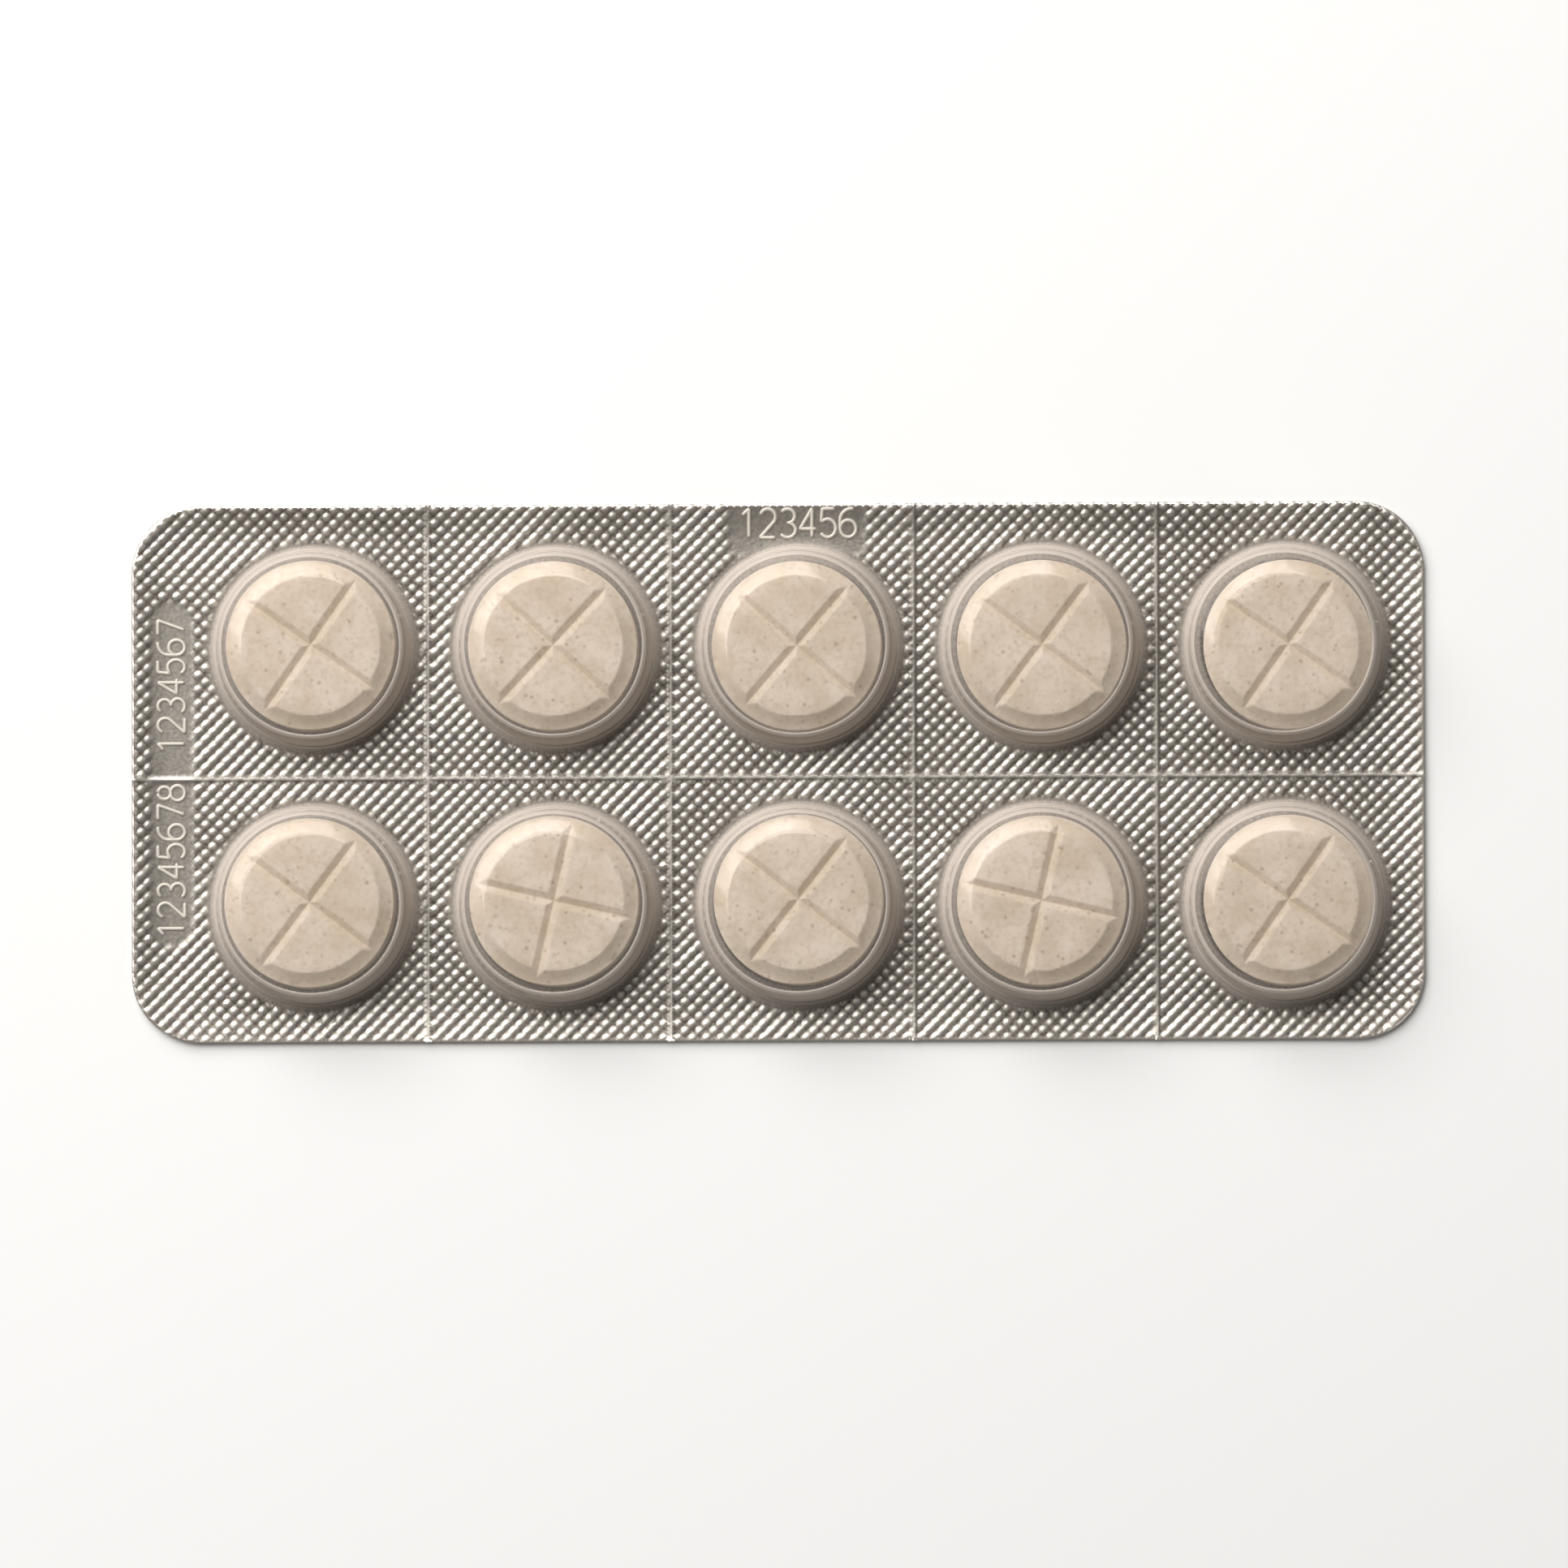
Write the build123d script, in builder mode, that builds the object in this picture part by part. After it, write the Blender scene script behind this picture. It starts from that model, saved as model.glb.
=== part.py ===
"""A push-through blister pack of ten tablets, in millimetres.

The pack lies flat on its foil. The origin is the middle of the underside, +X runs along the pack,
+Y across it, and +Z points up through the pockets. The wide sealing margin is at the -X end.
"""

from build123d import *
import os
from math import radians, tan

# Tablets: flat faces with bevelled edges, the lower one narrow, and a crossed break mark on top
tablet_diameter = 12.3
tablet_thickness = 4.0
bevel_width = 1.05
bevel_height = 0.45
lower_bevel_width = 0.6
lower_bevel_height = 0.26
score_width = 0.95
score_depth = 0.34

# How each tablet came to lie: the turn of its break mark in degrees, from +X, and how far it slid
# from the middle of its pocket, in shares of the side clearance
score_turns = [
    [55, 47, 49, 53, 55],
    [53, 77, 52, 77, 55],
]
tablet_slides = [
    [(-0.04, 0.19), (-0.17, -0.07), (-0.04, -0.27), (0.26, -0.25), (0.78, -0.38)],
    [(-0.31, 0.26), (0.02, 0.46), (0.21, 0.53), (0.16, 0.22), (0.68, 0.18)],
]

# Webs: the clear forming film, thinner where it is drawn down into a pocket, and the lidding foil
film_gauge = 0.25
pocket_wall = 0.18
foil_gauge = 0.025

# Pockets: the room that they leave the tablet, the lean of their wall and the slope round the roof
side_clearance = 0.42
headroom = 0.4
wall_lean = 0.55
crown_width = 0.32

# Sealing area: what lies between the feet of neighbouring pockets, and outside the outermost ones
columns = 5
rows = 2
column_web = 3.06
row_web = 4.15
margin_left = 5.92
margin_right = 2.82
margin_back = 3.12
margin_front = 2.61
corner_radius = 5.0

# Tear lines: creases that are pressed up from below through foil and film, a little off the middle
# of their webs, towards -X and -Y
crease_width = 0.5
crease_rise = 0.12
cross_crease_offset = 0.46
long_crease_offset = 0.11

# Pocket: outside radius at its head and at its foot, and the heights of its surfaces
tablet_radius = tablet_diameter / 2
head_inside = tablet_radius + side_clearance
head_outside = head_inside + pocket_wall
foot_inside = head_inside + wall_lean
foot_outside = foot_inside + pocket_wall
film_bottom = foil_gauge
film_top = film_bottom + film_gauge
roof_inside = film_bottom + tablet_thickness + headroom
roof_outside = roof_inside + pocket_wall

# Layout of the pack
column_pitch = 2 * foot_outside + column_web
row_pitch = 2 * foot_outside + row_web
pack_length = margin_left + (columns - 1) * column_pitch + 2 * foot_outside + margin_right
pack_width = margin_front + (rows - 1) * row_pitch + 2 * foot_outside + margin_back
pockets_x = (margin_left - margin_right) / 2
pockets_y = (margin_front - margin_back) / 2


def pocket_centre(row, column):
    """Middle of a pocket: rows run from the back edge, columns from the wide margin."""
    x = pockets_x + (column - (columns - 1) / 2) * column_pitch
    y = pockets_y + ((rows - 1) / 2 - row) * row_pitch
    return x, y


def crease_places():
    """X of the cross creases and Y of the long ones, one to each web between pockets."""
    across = [
        pocket_centre(0, column)[0] + column_pitch / 2 - cross_crease_offset
        for column in range(columns - 1)
    ]
    along = [
        pocket_centre(row, 0)[1] - row_pitch / 2 - long_crease_offset for row in range(rows - 1)
    ]
    return across, along


def press_creases(level, mode):
    """Adds or cuts the tear lines: bars of triangular section that stand on a level."""
    section = [(-crease_width / 2, 0), (crease_width / 2, 0), (0, crease_rise)]
    across, along = crease_places()
    with BuildSketch(Plane.XZ.offset(-pack_width / 2)) as cross_sections:
        with Locations([(x, level) for x in across]):
            Polygon(*section, align=None)
    extrude(cross_sections.sketch, amount=pack_width, mode=mode)
    with BuildSketch(Plane.YZ.offset(-pack_length / 2)) as long_sections:
        with Locations([(y, level) for y in along]):
            Polygon(*section, align=None)
    extrude(long_sections.sketch, amount=pack_length, mode=mode)


def turned_form(head, foot, roof, level, crown):
    """Drum that leans out from a flat roof with a sloping edge to its foot, standing on a level."""
    wall_head = head + (foot - head) * crown / (roof - level)
    with BuildPart() as form:
        with BuildSketch(Plane.XZ):
            with BuildLine():
                Polyline((foot, level), (0, level), (0, roof), (head - crown, roof))
                Line((head - crown, roof), (wall_head, roof - crown))
                Bezier((wall_head, roof - crown), (foot, level))
            make_face()
        revolve(axis=Axis.Z)
    return form.part


# Outline that film and foil are die-cut to, together
with BuildSketch() as outline:
    RectangleRounded(pack_length, pack_width, corner_radius)

# A drawn pocket: the form that its outside takes, and the room inside it. The slope round the roof
# is narrower inside, so that the wall is as thick there as elsewhere
mitre = tan(radians(22.5))
pocket_outside = turned_form(head_outside, foot_outside, roof_outside, film_bottom, crown_width)
pocket_inside = turned_form(
    head_inside, foot_inside, roof_inside, film_bottom, crown_width - pocket_wall * (1 - mitre)
)

# Forming film: a flat web with the pockets drawn up from it, over the room for the tablets
with BuildPart() as forming_film:
    with BuildSketch(Plane.XY.offset(film_bottom)):
        add(outline.sketch)
    extrude(amount=film_gauge)
    press_creases(film_top, Mode.ADD)
    press_creases(film_bottom, Mode.SUBTRACT)
    with Locations((pockets_x, pockets_y)):
        with GridLocations(column_pitch, row_pitch, columns, rows):
            add(pocket_outside)
            add(pocket_inside, mode=Mode.SUBTRACT)
forming_film.part.label = "forming_film"

# Lidding foil: sealed to the film's underside, and creased with it
with BuildPart() as lidding_foil:
    with BuildSketch():
        add(outline.sketch)
    extrude(amount=foil_gauge)
    press_creases(foil_gauge, Mode.ADD)
    press_creases(0, Mode.SUBTRACT)
lidding_foil.part.label = "lidding_foil"

# Pressed tablet: turned profile with a bevel round both faces, and two break marks at right angles
with BuildPart() as pressed_tablet:
    with BuildSketch(Plane.XZ):
        Polygon(
            (0, 0),
            (tablet_radius - lower_bevel_width, 0),
            (tablet_radius, lower_bevel_height),
            (tablet_radius, tablet_thickness - bevel_height),
            (tablet_radius - bevel_width, tablet_thickness),
            (0, tablet_thickness),
            align=None,
        )
    revolve(axis=Axis.Z)
    for score_plane in (Plane.XZ, Plane.YZ):
        with BuildSketch(score_plane):
            Polygon(
                (0, tablet_thickness - score_depth),
                (score_width / 2, tablet_thickness),
                (-score_width / 2, tablet_thickness),
                align=None,
            )
        extrude(amount=tablet_radius, both=True, mode=Mode.SUBTRACT)

# Tablets, each at rest on the foil in its pocket
tablets = []
for row in range(rows):
    for column in range(columns):
        x, y = pocket_centre(row, column)
        slide_x, slide_y = tablet_slides[row][column]
        place = (x + slide_x * side_clearance, y + slide_y * side_clearance, foil_gauge)
        with BuildPart() as tablet:
            with Locations(Location(place, (0, 0, score_turns[row][column]))):
                add(pressed_tablet.part)
        tablet.part.label = f"tablet_{row + 1}_{column + 1}"
        tablets.append(tablet.part)

os.makedirs("parts", exist_ok=True)
for piece in [forming_film.part, lidding_foil.part, *tablets]:
    export_step(piece, f"parts/{piece.label}.step")
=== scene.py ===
"""Looks of a push-through blister pack: knurled foil, clear drawn film and scored tablets.

Lengths are in metres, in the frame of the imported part: origin in the middle of the underside, +X
along the pack, +Z up through the pockets. The numbers of the shape follow the part's own.
"""

from math import cos, pi, radians, sin, sqrt, tan

import bpy
import numpy as np
from mathutils import Matrix, Vector


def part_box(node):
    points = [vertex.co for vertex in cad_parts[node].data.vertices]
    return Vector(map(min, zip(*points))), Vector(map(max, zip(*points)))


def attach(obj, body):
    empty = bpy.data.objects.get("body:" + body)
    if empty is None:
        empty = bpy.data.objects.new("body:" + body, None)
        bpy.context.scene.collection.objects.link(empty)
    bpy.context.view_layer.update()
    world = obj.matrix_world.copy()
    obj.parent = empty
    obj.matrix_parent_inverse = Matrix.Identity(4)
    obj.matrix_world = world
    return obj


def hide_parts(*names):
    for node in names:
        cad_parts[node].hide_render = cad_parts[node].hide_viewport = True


bl_info = {
    "name": "Blister pack looks",
    "version": (1, 0, 0),
    "blender": (4, 5, 0),
    "location": "3D View > Sidebar > Blister",
    "description": "Dresses a packed blister pack in knurled foil, clear film and pressed tablets",
    "category": "Object",
}

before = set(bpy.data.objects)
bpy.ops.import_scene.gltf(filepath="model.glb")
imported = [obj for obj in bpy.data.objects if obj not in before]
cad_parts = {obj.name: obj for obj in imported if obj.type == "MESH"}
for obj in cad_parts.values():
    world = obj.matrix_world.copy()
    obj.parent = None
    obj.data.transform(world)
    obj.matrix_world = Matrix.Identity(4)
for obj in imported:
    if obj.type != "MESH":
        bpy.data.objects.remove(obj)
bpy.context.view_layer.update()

MM = 0.001

# Die-cut outline and layout of the pockets
HALF_LENGTH = 46.99 * MM
HALF_WIDTH = 19.54 * MM
CORNER_RADIUS = 5.0 * MM
COLUMN_PITCH = 17.66 * MM
ROW_PITCH = 18.75 * MM
POCKETS_X = 1.55 * MM
POCKETS_Y = -0.255 * MM
ROWS, COLUMNS = 2, 5
POCKETS = np.array(
    [
        (POCKETS_X + (column - 2) * COLUMN_PITCH, POCKETS_Y + (0.5 - row) * ROW_PITCH)
        for row in range(ROWS)
        for column in range(COLUMNS)
    ]
)

# Levels of the two webs. The film's underside clears the foil's beads
FOIL_GAUGE = 0.025 * MM
FILM_UNDERSIDE = 0.222 * MM
FILM_TOP = 0.275 * MM

# Pocket profile as corners (radius, height) and the radii of their rounds, from the web's opening
# to the middle of the roof. Outside, one fine rib runs round the wall's foot and another round its
# head, where the mould is vented; from there a shoulder rises to the roof, which is flat inside
# about 5 mm of radius
RIM_RADIUS = 7.62 * MM
OUTSIDE = np.array(
    [(7.62, 0.275), (7.3, 0.275), (7.2, 0.68), (7.09, 0.62), (6.77, 3.76), (6.53, 3.97),
     (6.4, 3.9), (6.13, 4.22), (5.05, 4.6), (2.0, 4.6)]
) * MM
OUTSIDE_ROUNDS = np.array([0.28, 0.04, 0.03, 0.15, 0.05, 0.05, 0.35, 0.9]) * MM
INSIDE = np.array(
    [(7.1, 0.222), (6.98, 0.222), (6.58, 3.64), (6.3, 3.73), (6.04, 4.04), (5.01, 4.42),
     (2.0, 4.42)]
) * MM
INSIDE_ROUNDS = np.array([0.06, 0.15, 0.1, 0.3, 0.7]) * MM
RIBS = (6.52 * MM, 7.15 * MM)

# Tear lines, a little off the middle of their webs
CREASE_HALF = 0.22 * MM
CREASES_X = POCKETS_X + (np.arange(4) - 1.5) * COLUMN_PITCH - 0.46 * MM
CREASES_Y = np.array([POCKETS_Y - 0.11 * MM])

# Digit panels, without knurl: one along the wide margin, with its middle line and how far it goes
# each way, and one at the back edge, with its middle, how far it goes each way and where it starts
SIDE_PANEL_X, SIDE_PANEL_REACH = -44.1 * MM, 11.0 * MM
BACK_PANEL_X, BACK_PANEL_REACH, BACK_PANEL_Y = 1.4 * MM, 4.7 * MM, 16.2 * MM

# Rows of plain digits: text, start, turn in degrees, share of the digits' height, advance
DIGIT_ROWS = (
    ("12345678", (-43.15 * MM, -11.85 * MM), 90, 1.0, 1.42 * MM),
    ("1234567", (-43.15 * MM, 1.6 * MM), 90, 1.0, 1.42 * MM),
    ("123456", (-2.75 * MM, 17.1 * MM), 0, 1.06, 1.46 * MM),
)

# Width of the margin that lifts off the table
MARGIN = 2.6 * MM

# Tablets: their size, where their bevels start, and the turn of each break mark, in degrees from +X
TABLET_RADIUS, TABLET_HEIGHT = 6.15 * MM, 4.0 * MM
BEVEL_START, BEVEL_HEIGHT = 5.1 * MM, 0.45 * MM
LOWER_BEVEL_START, LOWER_BEVEL_HEIGHT = 5.35 * MM, 0.26 * MM
SCORE_TURNS = [[55, 47, 49, 53, 55], [53, 77, 52, 77, 55]]

# Floor: half its side, and how far it lies below the pack. Lights, in metres: name, place, side
FLOOR_REACH, FLOOR_DROP = 2.0, 0.05 * MM
LIGHTS = (("key", (-0.31, 0.44, 0.54), 0.8), ("fill", (0.45, -0.45, 0.25), 0.3))

# Camera: the point it looks at, its lean off the vertical to the right and to the front and its
# roll, in degrees, and the width of its sensor in millimetres
TARGET = Vector((0.47, -0.855, 0.3)) * MM
LEAN_X, LEAN_Y, ROLL = 2.35, 2.9, 0.12
SENSOR = 36


def linear(hex_colour):
    """Linear RGBA of an sRGB hex colour."""
    parts = [int(hex_colour[i : i + 2], 16) / 255 for i in (1, 3, 5)]
    light = (c / 12.92 if c <= 0.04045 else ((c + 0.055) / 1.055) ** 2.4 for c in parts)
    return (*light, 1.0)


class FoilSettings(bpy.types.PropertyGroup):
    """Sizes and finish of the lidding foil"""

    pitch: bpy.props.FloatProperty(
        name="Knurl pitch", description="Spacing of the knurl's points along both diagonals",
        default=0.736 * MM, unit="LENGTH", precision=6,
    )
    depth: bpy.props.FloatProperty(
        name="Knurl depth", description="How far the seal presses the foil into the film",
        default=0.15 * MM, unit="LENGTH", precision=6,
    )
    crease_rise: bpy.props.FloatProperty(
        name="Crease rise", description="Height of the tear lines above the web",
        default=0.09 * MM, unit="LENGTH", precision=6,
    )
    curl: bpy.props.FloatProperty(
        name="Curl", description="How far the cut edge lifts off the table",
        default=0.2 * MM, unit="LENGTH", precision=6,
    )
    burr: bpy.props.FloatProperty(
        name="Burr", description="How far the die turns up the cut edge", default=0.03 * MM,
        unit="LENGTH", precision=6,
    )
    # Foil colour, shown in full only where the foil paints a highlight: bead tops, tear lines, cut
    # edge
    colour: bpy.props.FloatVectorProperty(
        name="Foil colour", description="Bare rolled aluminium under a warm lacquer",
        default=linear("#F0EBE4"), size=4, subtype="COLOR", min=0, max=1,
    )
    roughness: bpy.props.FloatProperty(
        name="Foil roughness", description="Micro-roughness of the rolled side",
        default=0.34, min=0, max=1, subtype="FACTOR",
    )


class FilmSettings(bpy.types.PropertyGroup):
    """Relief and finish of the clear film"""

    tint: bpy.props.FloatVectorProperty(
        name="Film tint", description="What a thin layer of the film lets through",
        default=linear("#FDFDFC"), size=4, subtype="COLOR", min=0, max=1,
    )
    relief: bpy.props.FloatProperty(
        name="Film relief", description="Depth of the seal's pattern on the film's upper side",
        default=0.035 * MM, unit="LENGTH", precision=6,
    )
    roughness: bpy.props.FloatProperty(
        name="Film roughness", description="Micro-roughness of the calendered film",
        default=0.09, min=0, max=1, subtype="FACTOR",
    )
    haze: bpy.props.FloatProperty(
        name="Film haze", description="Share of light that each face scatters, seen face-on",
        default=0.02, min=0, max=1, subtype="FACTOR",
    )


class TabletSettings(bpy.types.PropertyGroup):
    """Break marks and colours of the tablets"""

    colour: bpy.props.FloatVectorProperty(
        name="Powder colour", description="Pressed powder", default=linear("#EADCCF"), size=4,
        subtype="COLOR", min=0, max=1,
    )
    speck_colour: bpy.props.FloatVectorProperty(
        name="Speck colour", description="Darker grains in the powder", default=linear("#8E735A"),
        size=4, subtype="COLOR", min=0, max=1,
    )
    score_depth: bpy.props.FloatProperty(
        name="Score depth", description="Depth of the break marks", default=0.34 * MM,
        unit="LENGTH", precision=6,
    )
    score_half: bpy.props.FloatProperty(
        name="Score half width", description="From the bottom of a break mark to its edge",
        default=0.475 * MM, unit="LENGTH", precision=6,
    )


class DigitSettings(bpy.types.PropertyGroup):
    """Sizes of the embossed digits"""

    height: bpy.props.FloatProperty(
        name="Digit height", description="Height of the embossed digits", default=1.95 * MM,
        unit="LENGTH", precision=6,
    )
    stroke: bpy.props.FloatProperty(
        name="Stroke radius", description="Half the width of a stroke", default=0.14 * MM,
        unit="LENGTH", precision=6,
    )


class StageSettings(bpy.types.PropertyGroup):
    """Camera, floor and lights"""

    distance: bpy.props.FloatProperty(
        name="Camera distance", description="From the camera to the pack", default=1.8,
        unit="LENGTH",
    )
    view_width: bpy.props.FloatProperty(
        name="View width", description="Width of what the camera takes in", default=113.9 * MM,
        unit="LENGTH", precision=5,
    )
    floor_colour: bpy.props.FloatVectorProperty(
        name="Floor colour", description="Pale matt board", default=linear("#E9E8E6"), size=4,
        subtype="COLOR", min=0, max=1,
    )
    key_power: bpy.props.FloatProperty(
        name="Key light", description="Power of the softbox at the upper left", default=11.6, min=0,
    )
    fill_power: bpy.props.FloatProperty(
        name="Fill light", description="Power of the low weak light at the lower right",
        default=0.3, min=0,
    )


# Shapes


def smooth_step(low, high, value):
    """0 below low, 1 above high, and 3t^2 - 2t^3 between."""
    t = np.clip((value - low) / (high - low), 0, 1)
    return t * t * (3 - 2 * t)


def outline_distance(points):
    """Distance inside the rounded rectangle: the corner radius less the distance from its core."""
    over = np.abs(points) - (np.array([HALF_LENGTH, HALF_WIDTH]) - CORNER_RADIUS)
    return CORNER_RADIUS - np.hypot(*np.maximum(over, 0).T) - np.minimum(over.max(1), 0)


def pocket_distance(points, radius=RIM_RADIUS):
    """Distance outside the nearest of the pockets' circles."""
    apart = points[:, None, :] - POCKETS[None]
    return np.hypot(apart[..., 0], apart[..., 1]).min(1) - radius


def web_distance(points):
    """Distance inside the web: outline less pockets."""
    return np.minimum(outline_distance(points), pocket_distance(points))


def triangle_edges(triangles):
    """Directed edges of triangles, one row each."""
    return np.concatenate([triangles[:, [0, 1]], triangles[:, [1, 2]], triangles[:, [2, 0]]])


def open_edges(triangles):
    """Directed edges that only one triangle has."""
    edges = triangle_edges(triangles)
    size = int(triangles.max()) + 1
    key, back = edges[:, 0] * size + edges[:, 1], edges[:, 1] * size + edges[:, 0]
    return edges[~np.isin(key, back)]


def snap(points, triangles, distance):
    """Moves points onto a curve by Newton steps down its distance field: the nearer end of each
    edge that crosses it, so that the curve runs along edges. Returns the distances, with 0 where
    a point was moved."""
    away = distance(points)
    first, second = triangle_edges(triangles).T
    crossing = away[first] * away[second] < 0
    nearer = np.where(np.abs(away[first]) < np.abs(away[second]), first, second)
    moved = np.unique(nearer[crossing])
    place = points[moved]
    step = 1e-6
    for _ in range(4):
        value = distance(place)
        slope = np.stack(
            [(distance(place + d) - distance(place - d)) / (2 * step) for d in step * np.eye(2)], 1
        )
        place = place - (value / (slope**2).sum(1).clip(0.25))[:, None] * slope
    points[moved] = place
    away = distance(points)
    away[moved] = 0
    return away


def web_grid(pitch, parts):
    """Web as a grid along both diagonals of the knurl, with each cell in equal parts, split along
    the hips of its beads and along the tear lines, slid sideways by up to half a column so that a
    column lies on each tear line, and cut to the web."""
    cells = int((HALF_LENGTH + HALF_WIDTH) / sqrt(2) / pitch) + 2
    lines = np.arange(-cells * parts, cells * parts) * pitch / parts
    u, v = np.meshgrid(lines, lines, indexing="ij")
    points = np.stack([(u - v).ravel(), (u + v).ravel()], 1) / sqrt(2)
    count = len(lines)
    i, j = (index.ravel() for index in np.meshgrid(*[np.arange(count - 1)] * 2, indexing="ij"))
    a, b, c, d = i * count + j, (i + 1) * count + j, (i + 1) * count + j + 1, i * count + j + 1
    main = (i % parts >= parts / 2) == (j % parts >= parts / 2)
    middle = points[a] + (points[c] - points[a]) / 2
    reach = 0.8 * pitch / parts
    main |= np.abs(middle[:, :1] - CREASES_X[None]).min(1) < reach
    main &= np.abs(middle[:, 1:] - CREASES_Y[None]).min(1) > reach
    split_main = np.concatenate([np.stack([a, b, c], 1)[main], np.stack([a, c, d], 1)[main]])
    split_cross = np.concatenate([np.stack([a, b, d], 1)[~main], np.stack([b, c, d], 1)[~main]])
    triangles = np.concatenate([split_main, split_cross])
    near = web_distance(points)[triangles].max(1) > -pitch
    triangles = triangles[near]
    column = pitch / parts / sqrt(2)
    for axis, creases in ((0, CREASES_X), (1, CREASES_Y)):
        for crease in creases:
            slide = crease - np.round(crease / column) * column
            near_by = 1 - smooth_step(0.45 * MM, 1.3 * MM, np.abs(points[:, axis] - crease))
            points[:, axis] += slide * near_by
    away = snap(points, triangles, web_distance)
    first, second = triangle_edges(triangles).T
    same = np.hypot(*(points[first] - points[second]).T) < 0.02 * pitch / parts
    weld = np.arange(len(points))
    weld[np.maximum(first, second)[same]] = np.minimum(first, second)[same]
    triangles = weld[triangles]
    triangles = triangles[(triangles != np.roll(triangles, 1, 1)).all(1)]
    inside = away[triangles].min(1) > -1e-9
    inside &= web_distance(points[triangles].mean(1)) > 0
    triangles = triangles[inside]
    corners = points[triangles]
    area = np.cross(corners[:, 1] - corners[:, 0], corners[:, 2] - corners[:, 0])
    on_border = np.abs(away[triangles]).max(1) < 1e-9
    triangles = triangles[(area > 1e-12) | ~on_border]
    used, triangles = np.unique(triangles, return_inverse=True)
    return points[used], triangles.reshape(-1, 3)


def split_borders(points, triangles):
    """Open edges of the web, as those on the outline and those round each pocket."""
    edges = open_edges(triangles)
    middle = points[edges].mean(1)
    apart = np.hypot(*(middle[:, None, :] - POCKETS[None]).transpose(2, 0, 1))
    at_outline = outline_distance(middle) < apart.min(1) - RIM_RADIUS
    nearest = np.where(at_outline, -1, apart.argmin(1))
    return edges[at_outline], [edges[nearest == k] for k in range(len(POCKETS))]


def crease_distance(points):
    """Distance from the nearest tear line."""
    off_x = np.abs(points[:, :1] - CREASES_X[None]).min(1)
    off_y = np.abs(points[:, 1:] - CREASES_Y[None]).min(1)
    return np.minimum(off_x, off_y)


def panel_share(points):
    """1 on the two digit panels, along the wide margin and at the back edge, and 0 off them."""
    x, y = points.T
    along = np.maximum(np.abs(y) - SIDE_PANEL_REACH, 0)
    off_side = smooth_step(1.35 * MM, 1.8 * MM, np.hypot(x - SIDE_PANEL_X, along))
    across = np.maximum(np.abs(x - BACK_PANEL_X) - BACK_PANEL_REACH, 0)
    off_back = smooth_step(0, 0.7 * MM, np.maximum(across, BACK_PANEL_Y - y))
    return 1 - off_side * off_back


def flat_share(points):
    """Share of the knurl that is left: it fades beside pockets, tear lines and the die-cut edge,
    and on the two digit panels."""
    beside = smooth_step(0, 0.2 * MM, pocket_distance(points))
    beside *= smooth_step(0.1 * MM, 0.26 * MM, crease_distance(points))
    beside *= smooth_step(0.08 * MM, 0.3 * MM, outline_distance(points))
    return beside * (1 - panel_share(points))


def curl(points, rise):
    """Lift of the margins off the table, by the 1.5th power of how far a point is past the margin's
    inner line. At the corners a quarter is added, with the square of how far a point is past a
    diagonal. It ends beside the pockets."""
    reach = np.abs(points[:, 0]) / HALF_LENGTH + np.abs(points[:, 1]) / HALF_WIDTH - 1.62
    corner = 0.25 * np.clip(reach / 0.24, 0, None) ** 2
    margin = np.clip(1 - outline_distance(points) / MARGIN, 0, 1) ** 1.5
    return rise * (corner + margin) * smooth_step(0, 1.2 * MM, pocket_distance(points))


def lip(points):
    """The die's burr: from 0 at 0.2 mm inside the outline to 1 on it."""
    return 1 - smooth_step(-0.05 * MM, 0.2 * MM, outline_distance(points))


def ridge(points, rise):
    """Tear lines: a raised cosine, highest on the crease and nothing at its half width."""
    share = np.clip(crease_distance(points) / CREASE_HALF, 0, 1)
    return rise * (0.5 + 0.5 * np.cos(pi * share))


def bead_share(points, pitch):
    """Height of the knurl, from 0 to about 1: beads in rows along both diagonals, each the power
    1.1 of two raised cosines' product, times its own size. Over stretches of 10 to 25 mm, the
    seal's uneven pressure changes their height, and how far necks join them along the rising
    diagonal."""
    u, v = (points[:, 0] + points[:, 1]) / sqrt(2), (points[:, 1] - points[:, 0]) / sqrt(2)
    along, across = (0.5 - 0.5 * np.cos(2 * pi * w / pitch) for w in (u, v))
    sizes = np.random.default_rng(7).uniform(0.72, 1.12, (160, 160))
    i, j = (np.floor(w / pitch).astype(int) + 80 for w in (u, v))
    x, y = points.T / MM
    uneven = 0.9 + 0.08 * np.sin(0.29 * x + 0.41 * y + 1) + 0.06 * np.sin(0.53 * x - 0.37 * y)
    neck = 0.18 + 0.16 * np.sin(0.33 * x + 0.17 * y + 2 * np.sin(0.11 * x - 0.3 * y))
    beads = sizes[i, j] * (along * across) ** 1.1
    return uneven * (beads + neck * across * (1 - along)) * flat_share(points)


def bands(index):
    """Quads between closed rings of points, from a table of their numbers, one ring to a row."""
    a, b = index[:-1], index[1:]
    return np.stack([a, np.roll(a, -1, 1), np.roll(b, -1, 1), b], -1).reshape(-1, 4)


def turned(points, degrees):
    """Points turned about the origin."""
    angle = radians(degrees)
    return points @ np.array([[cos(angle), sin(angle)], [-sin(angle), cos(angle)]])


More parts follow.
